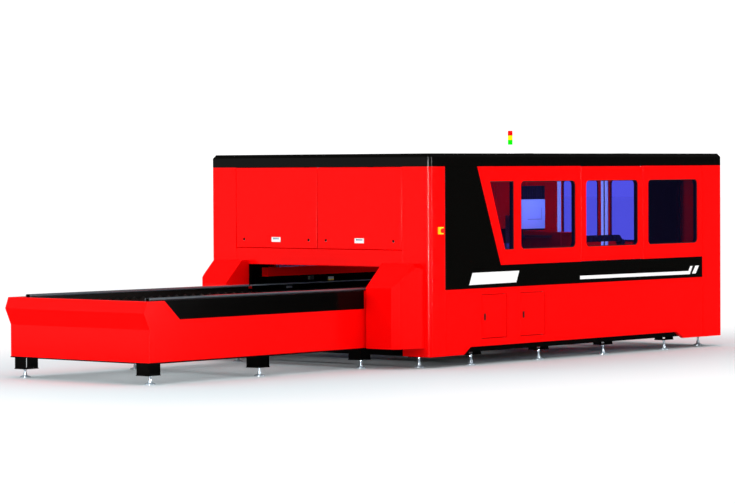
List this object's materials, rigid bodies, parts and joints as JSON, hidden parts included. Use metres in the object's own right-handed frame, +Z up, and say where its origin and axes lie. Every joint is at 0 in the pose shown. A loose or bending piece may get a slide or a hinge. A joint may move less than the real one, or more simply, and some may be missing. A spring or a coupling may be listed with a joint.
{
  "type": "enclosed laser cutting machine with exchange table",
  "caption": "Enclosed sheet laser cutter: glazed cabin with gantry and head, two shuttle pallets, exchange table, lift-up flaps, doors and levelling feet.",
  "frame": {"origin": "on the floor under the middle of the whole machine", "axes": "+X from the exchange table to the rear wall, -Y towards the operator, +Z up"},
  "size_m": [8.902, 3.2343, 2.477],
  "materials": {
    "red_paint": "gloss powder coat",
    "black_paint": "satin powder coat",
    "pallet_paint": "satin paint",
    "raw_steel": "mill finish with oxide",
    "ground_steel": "ground",
    "zinc": "bright zinc",
    "aluminium": "machined",
    "copper": "turned",
    "tinted_glass": "tinted",
    "seal_rubber": "matte",
    "white_cover": "semi-gloss",
    "motor_black": "satin",
    "chain_plastic": "matte",
    "latch_plastic": "matte",
    "yellow_plastic": "moulded",
    "red_plastic": "moulded",
    "lens_plastic": "translucent, red, yellow and green"
  },
  "bodies": {
    "machine": {"corner_panels": "red_paint", "front_lower_panel": "red_paint", "front_window_panels": "red_paint", "entry_panels": "red_paint", "entry_hoods": "red_paint", "back_panels": "red_paint", "rear_panels": "red_paint", "table_sides": "red_paint", "table_end_panel": "red_paint", "bed_beams": "red_paint", "front_black_panel": "black_paint", "roof_cap": "black_paint", "roof_sheets": "black_paint", "base_frame": "black_paint", "table_frame": "black_paint", "foot_brackets": "black_paint", "chain_tray": "black_paint", "pallet_tracks": "raw_steel", "bed_guides": "ground_steel", "door_pivots": "ground_steel", "foot_bases": "zinc", "foot_studs": "zinc", "extraction_outlet": "aluminium", "tower_pole": "aluminium", "front_window_glass": "tinted_glass", "front_window_seals": "seal_rubber", "exchange_drive": "motor_black", "cable_chain": "chain_plastic", "estop_box": "yellow_plastic", "tower_lenses": "lens_plastic"},
    "upper_pallet": {"upper_pallet_frame": "pallet_paint", "upper_pallet_slats": "raw_steel"},
    "lower_pallet": {"lower_pallet_frame": "pallet_paint", "lower_pallet_slats": "raw_steel"},
    "gantry": {"gantry_beam": "red_paint", "gantry_trucks": "ground_steel", "gantry_motors": "motor_black", "cross_rails": "ground_steel"},
    "carriage": {"carriage_plate": "motor_black", "head_cover": "white_cover", "lift_motor": "motor_black"},
    "head": {"cutting_head": "aluminium", "nozzle": "copper"},
    "entry_flap_near": {"entry_flap_near": "red_paint", "flap_fittings_near": "zinc"},
    "entry_flap_far": {"entry_flap_far": "red_paint", "flap_fittings_far": "zinc"},
    "front_door": {"front_door": "red_paint", "front_door_seal": "seal_rubber", "front_door_glass": "tinted_glass"},
    "service_door_1": {"service_door_1": "red_paint"},
    "service_door_2": {"service_door_2": "red_paint"},
    "service_latch_1": {"service_latch_1": "latch_plastic"},
    "service_latch_2": {"service_latch_2": "latch_plastic"},
    "rear_door_near": {"rear_door_near": "red_paint", "rear_glass_near": "tinted_glass"},
    "rear_door_far": {"rear_door_far": "red_paint", "rear_glass_far": "tinted_glass"},
    "estop_button": {"estop_button": "red_plastic"},
    "exchange_shaft": {"exchange_shaft": "ground_steel"}
  },
  "joints": [
    {"name": "upper_pallet_slide", "type": "slide", "parent": "machine", "child": "upper_pallet", "axis": [1, 0, 0], "range_m": [0, 3.9]},
    {"name": "lower_pallet_slide", "type": "slide", "parent": "machine", "child": "lower_pallet", "axis": [1, 0, 0], "range_m": [-3.9, 0]},
    {"name": "gantry_slide", "type": "slide", "parent": "machine", "child": "gantry", "axis": [1, 0, 0], "range_m": [-2.2, 0.8], "deforming": ["cable_chain"]},
    {"name": "carriage_slide", "type": "slide", "parent": "gantry", "child": "carriage", "axis": [0, 1, 0], "range_m": [-0.275, 1.205]},
    {"name": "head_lift", "type": "slide", "parent": "carriage", "child": "head", "axis": [0, 0, 1], "range_m": [-0.27, 0.075]},
    {"name": "entry_flap_near_lift", "type": "hinge", "parent": "machine", "child": "entry_flap_near", "pos_m": [-0.844, -0.5945, 2.06], "axis": [0, 1, 0], "range_deg": [0, 85]},
    {"name": "entry_flap_far_lift", "type": "hinge", "parent": "machine", "child": "entry_flap_far", "pos_m": [-0.844, 0.5945, 2.06], "axis": [0, 1, 0], "range_deg": [0, 85]},
    {"name": "front_door_swing", "type": "hinge", "parent": "machine", "child": "front_door", "pos_m": [2.861, -1.547, 1.569], "axis": [0, 0, 1], "range_deg": [0, 100]},
    {"name": "service_door_1_swing", "type": "hinge", "parent": "machine", "child": "service_door_1", "pos_m": [0.388, -1.547, 0.507], "axis": [0, 0, 1], "range_deg": [0, 110]},
    {"name": "service_latch_1_turn", "type": "hinge", "parent": "service_door_1", "child": "service_latch_1", "pos_m": [0.046, -1.56, 0.504], "axis": [0, -1, 0], "range_deg": [0, 90]},
    {"name": "service_door_2_swing", "type": "hinge", "parent": "machine", "child": "service_door_2", "pos_m": [1.05, -1.547, 0.507], "axis": [0, 0, 1], "range_deg": [0, 110]},
    {"name": "service_latch_2_turn", "type": "hinge", "parent": "service_door_2", "child": "service_latch_2", "pos_m": [0.708, -1.56, 0.504], "axis": [0, -1, 0], "range_deg": [0, 90]},
    {"name": "rear_door_near_swing", "type": "hinge", "parent": "machine", "child": "rear_door_near", "pos_m": [4.438, -0.557, 1.197], "axis": [0, 0, -1], "range_deg": [0, 110]},
    {"name": "rear_door_far_swing", "type": "hinge", "parent": "machine", "child": "rear_door_far", "pos_m": [4.438, 0.815, 1.197], "axis": [0, 0, 1], "range_deg": [0, 110]},
    {"name": "exchange_shaft_turn", "type": "hinge", "parent": "machine", "child": "exchange_shaft", "pos_m": [-1.171, 0, 0.4], "axis": [0, 1, 0], "range_deg": [0, 3991]},
    {"name": "estop_press", "type": "slide", "parent": "machine", "child": "estop_button", "axis": [0, 1, 0], "range_m": [0, 0.004], "stiffness_N_per_m": 3000}
  ],
  "couplings": [
    {"joint": "lower_pallet_slide", "follows": "upper_pallet_slide", "ratio": -1},
    {"joint": "exchange_shaft_turn", "follows": "upper_pallet_slide", "rad_per_m": 17.857}
  ]
}
